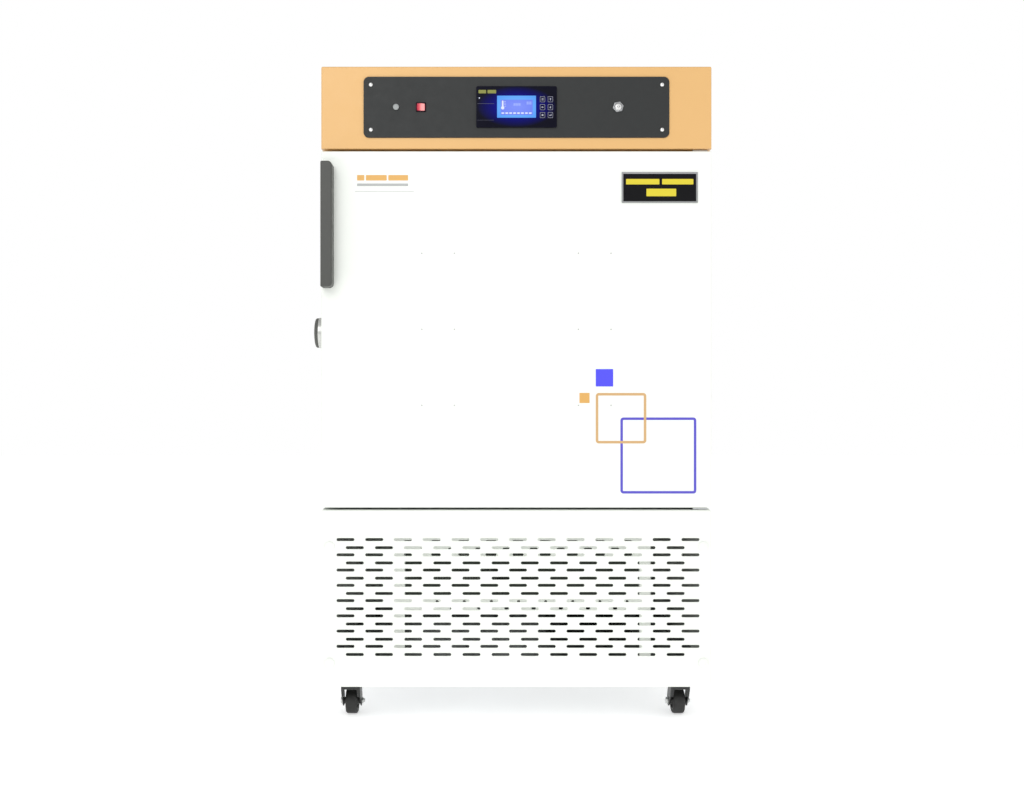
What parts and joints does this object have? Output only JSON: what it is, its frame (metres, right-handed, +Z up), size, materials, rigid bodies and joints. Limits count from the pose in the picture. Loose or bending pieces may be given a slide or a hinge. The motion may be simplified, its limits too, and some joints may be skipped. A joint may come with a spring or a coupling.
{
  "type": "laboratory incubator shaker",
  "caption": "Floor-standing insulated laboratory cabinet on casters with a hinged door, a control panel above and an orbital shaking platform inside.",
  "frame": {"origin": "on the floor, under the middle of the overall width and depth", "axes": "+Z up, the door faces -Y, +X to the right of a person who faces the door"},
  "size_m": [0.7783, 0.742, 1.267],
  "materials": {
    "white_paint": "satin",
    "orange_paint": "satin",
    "panel_charcoal": "matte",
    "gloss_black": "gloss",
    "screen_blue": "gloss",
    "key_black": "gloss",
    "switch_red": "gloss",
    "button_grey": "satin",
    "chrome_plate": "polished",
    "stainless": "satin",
    "galvanised": "matte",
    "foam": "matte",
    "gasket_grey": "matte",
    "handle_grey": "satin",
    "plate_black": "satin",
    "motor_grey": "satin",
    "machine_black": "satin",
    "plastic_black": "matte",
    "rubber_black": "matte",
    "copper": "satin",
    "board_green": "satin",
    "aluminium": "satin"
  },
  "bodies": {
    "cabinet": {"base_pan": "galvanised", "outer_wrapper": "white_paint", "rear_vent_cover": "white_paint", "compartment_deck": "galvanised", "chamber_insulation": "foam", "chamber_liner": "stainless", "front_collar": "white_paint", "control_housing": "orange_paint", "control_panel": "panel_charcoal", "controller_case": "gloss_black", "display_window": "screen_blue", "rocker_frame": "plastic_black", "ring_switch_body": "chrome_plate", "control_board": "board_green", "mains_inlet": "plastic_black", "hinge_bracket_top": "stainless", "hinge_bracket_bottom": "stainless", "front_grille": "white_paint", "port_sleeve": "aluminium", "air_baffle": "stainless", "fan_motor": "motor_grey", "heater_ring": "stainless", "evaporator_tube": "copper", "drive_motor": "motor_grey", "drive_belt": "rubber_black", "compressor": "machine_black", "condenser": "aluminium", "condenser_frame": "white_paint"},
    "door": {"door_shell": "white_paint", "door_insulation": "foam", "door_liner": "stainless", "door_gasket": "gasket_grey", "door_handle": "handle_grey", "nameplate": "plate_black"},
    "rocker": {"power_rocker": "switch_red"},
    "button": {"push_button": "button_grey"},
    "ring_button": {"ring_switch_button": "stainless"},
    "side_port_cap": {"port_cap": "rubber_black"},
    "chamber_fan": {"circulation_fan": "aluminium"},
    "cooling_fan": {"condenser_fan": "plastic_black"},
    "crank": {"drive_crank": "stainless", "crank_pulley": "aluminium"},
    "platform": {"shaker_platform": "aluminium"},
    "motor_shaft": {"motor_pulley": "aluminium"},
    "idler_left": {"idler_crank_left": "stainless"},
    "idler_right": {"idler_crank_right": "stainless"},
    "key_1_cap": {"key_1": "key_black"},
    "key_2_cap": {"key_2": "key_black"},
    "key_3_cap": {"key_3": "key_black"},
    "key_4_cap": {"key_4": "key_black"},
    "key_5_cap": {"key_5": "key_black"},
    "key_6_cap": {"key_6": "key_black"},
    "fork_front_left": {"caster_fork_front_left": "machine_black"},
    "wheel_front_left": {"caster_wheel_front_left": "rubber_black"},
    "fork_front_right": {"caster_fork_front_right": "machine_black"},
    "wheel_front_right": {"caster_wheel_front_right": "rubber_black"},
    "fork_rear_left": {"caster_fork_rear_left": "machine_black"},
    "wheel_rear_left": {"caster_wheel_rear_left": "rubber_black"},
    "fork_rear_right": {"caster_fork_rear_right": "machine_black"},
    "wheel_rear_right": {"caster_wheel_rear_right": "rubber_black"}
  },
  "joints": [
    {"name": "door_hinge", "type": "hinge", "parent": "cabinet", "child": "door", "pos_m": [0.3685, -0.3135, 0.4195], "axis": [0, 0, 1], "range_deg": [0, 110]},
    {"name": "key_1_press", "type": "slide", "parent": "cabinet", "child": "key_1_cap", "axis": [0, 1, 0], "range_m": [0, 0.0008], "stiffness_N_per_m": 600, "springref_m": -0.0004},
    {"name": "key_2_press", "type": "slide", "parent": "cabinet", "child": "key_2_cap", "axis": [0, 1, 0], "range_m": [0, 0.0008], "stiffness_N_per_m": 600, "springref_m": -0.0004},
    {"name": "key_3_press", "type": "slide", "parent": "cabinet", "child": "key_3_cap", "axis": [0, 1, 0], "range_m": [0, 0.0008], "stiffness_N_per_m": 600, "springref_m": -0.0004},
    {"name": "key_4_press", "type": "slide", "parent": "cabinet", "child": "key_4_cap", "axis": [0, 1, 0], "range_m": [0, 0.0008], "stiffness_N_per_m": 600, "springref_m": -0.0004},
    {"name": "key_5_press", "type": "slide", "parent": "cabinet", "child": "key_5_cap", "axis": [0, 1, 0], "range_m": [0, 0.0008], "stiffness_N_per_m": 600, "springref_m": -0.0004},
    {"name": "key_6_press", "type": "slide", "parent": "cabinet", "child": "key_6_cap", "axis": [0, 1, 0], "range_m": [0, 0.0008], "stiffness_N_per_m": 600, "springref_m": -0.0004},
    {"name": "rocker_tilt", "type": "hinge", "parent": "cabinet", "child": "rocker", "pos_m": [-0.1692, -0.3438, 1.188], "axis": [0, 0, 1], "range_deg": [-18, 0]},
    {"name": "button_press", "type": "slide", "parent": "cabinet", "child": "button", "axis": [0, 1, 0], "range_m": [0, 0.0015], "stiffness_N_per_m": 400, "springref_m": -0.0006},
    {"name": "ring_button_press", "type": "slide", "parent": "cabinet", "child": "ring_button", "axis": [0, 1, 0], "range_m": [0, 0.002], "stiffness_N_per_m": 400, "springref_m": -0.0006},
    {"name": "port_cap_pull", "type": "slide", "parent": "cabinet", "child": "side_port_cap", "axis": [-1, 0, 0], "range_m": [0, 0.06]},
    {"name": "chamber_fan_spin", "type": "hinge", "parent": "cabinet", "child": "chamber_fan", "pos_m": [0.014, 0.2509, 0.872], "axis": [0, 1, 0], "continuous": true},
    {"name": "cooling_fan_spin", "type": "hinge", "parent": "cabinet", "child": "cooling_fan", "pos_m": [0.028, -0.204, 0.27625], "axis": [0, 1, 0], "continuous": true},
    {"name": "crank_spin", "type": "hinge", "parent": "cabinet", "child": "crank", "pos_m": [0.014, -0.02515, 0.4966], "axis": [0, 0, 1], "continuous": true},
    {"name": "platform_swivel", "type": "hinge", "parent": "crank", "child": "platform", "pos_m": [0.0265, -0.02515, 0.5166], "axis": [0, 0, 1], "continuous": true},
    {"name": "motor_spin", "type": "hinge", "parent": "cabinet", "child": "motor_shaft", "pos_m": [-0.176, -0.02515, 0.354], "axis": [0, 0, 1], "continuous": true},
    {"name": "idler_left_spin", "type": "hinge", "parent": "cabinet", "child": "idler_left", "pos_m": [-0.166, -0.02515, 0.4966], "axis": [0, 0, 1], "continuous": true},
    {"name": "idler_right_spin", "type": "hinge", "parent": "cabinet", "child": "idler_right", "pos_m": [0.194, -0.02515, 0.4966], "axis": [0, 0, 1], "continuous": true},
    {"name": "caster_swivel_front_left", "type": "hinge", "parent": "cabinet", "child": "fork_front_left", "pos_m": [-0.311, -0.271, 0.075], "axis": [0, 0, 1], "continuous": true},
    {"name": "caster_swivel_front_right", "type": "hinge", "parent": "cabinet", "child": "fork_front_right", "pos_m": [0.339, -0.271, 0.075], "axis": [0, 0, 1], "continuous": true},
    {"name": "caster_swivel_rear_left", "type": "hinge", "parent": "cabinet", "child": "fork_rear_left", "pos_m": [-0.311, 0.289, 0.075], "axis": [0, 0, 1], "continuous": true},
    {"name": "caster_swivel_rear_right", "type": "hinge", "parent": "cabinet", "child": "fork_rear_right", "pos_m": [0.339, 0.289, 0.075], "axis": [0, 0, 1], "continuous": true},
    {"name": "wheel_roll_front_left", "type": "hinge", "parent": "fork_front_left", "child": "wheel_front_left", "pos_m": [-0.311, -0.251, 0.025], "axis": [1, 0, 0], "continuous": true},
    {"name": "wheel_roll_front_right", "type": "hinge", "parent": "fork_front_right", "child": "wheel_front_right", "pos_m": [0.339, -0.251, 0.025], "axis": [1, 0, 0], "continuous": true},
    {"name": "wheel_roll_rear_left", "type": "hinge", "parent": "fork_rear_left", "child": "wheel_rear_left", "pos_m": [-0.311, 0.309, 0.025], "axis": [1, 0, 0], "continuous": true},
    {"name": "wheel_roll_rear_right", "type": "hinge", "parent": "fork_rear_right", "child": "wheel_rear_right", "pos_m": [0.339, 0.309, 0.025], "axis": [1, 0, 0], "continuous": true}
  ],
  "couplings": [
    {"joint": "platform_swivel", "follows": "crank_spin", "ratio": -1},
    {"joint": "motor_spin", "follows": "crank_spin", "ratio": 2.6791},
    {"joint": "idler_left_spin", "follows": "crank_spin", "ratio": 1},
    {"joint": "idler_right_spin", "follows": "crank_spin", "ratio": 1}
  ]
}
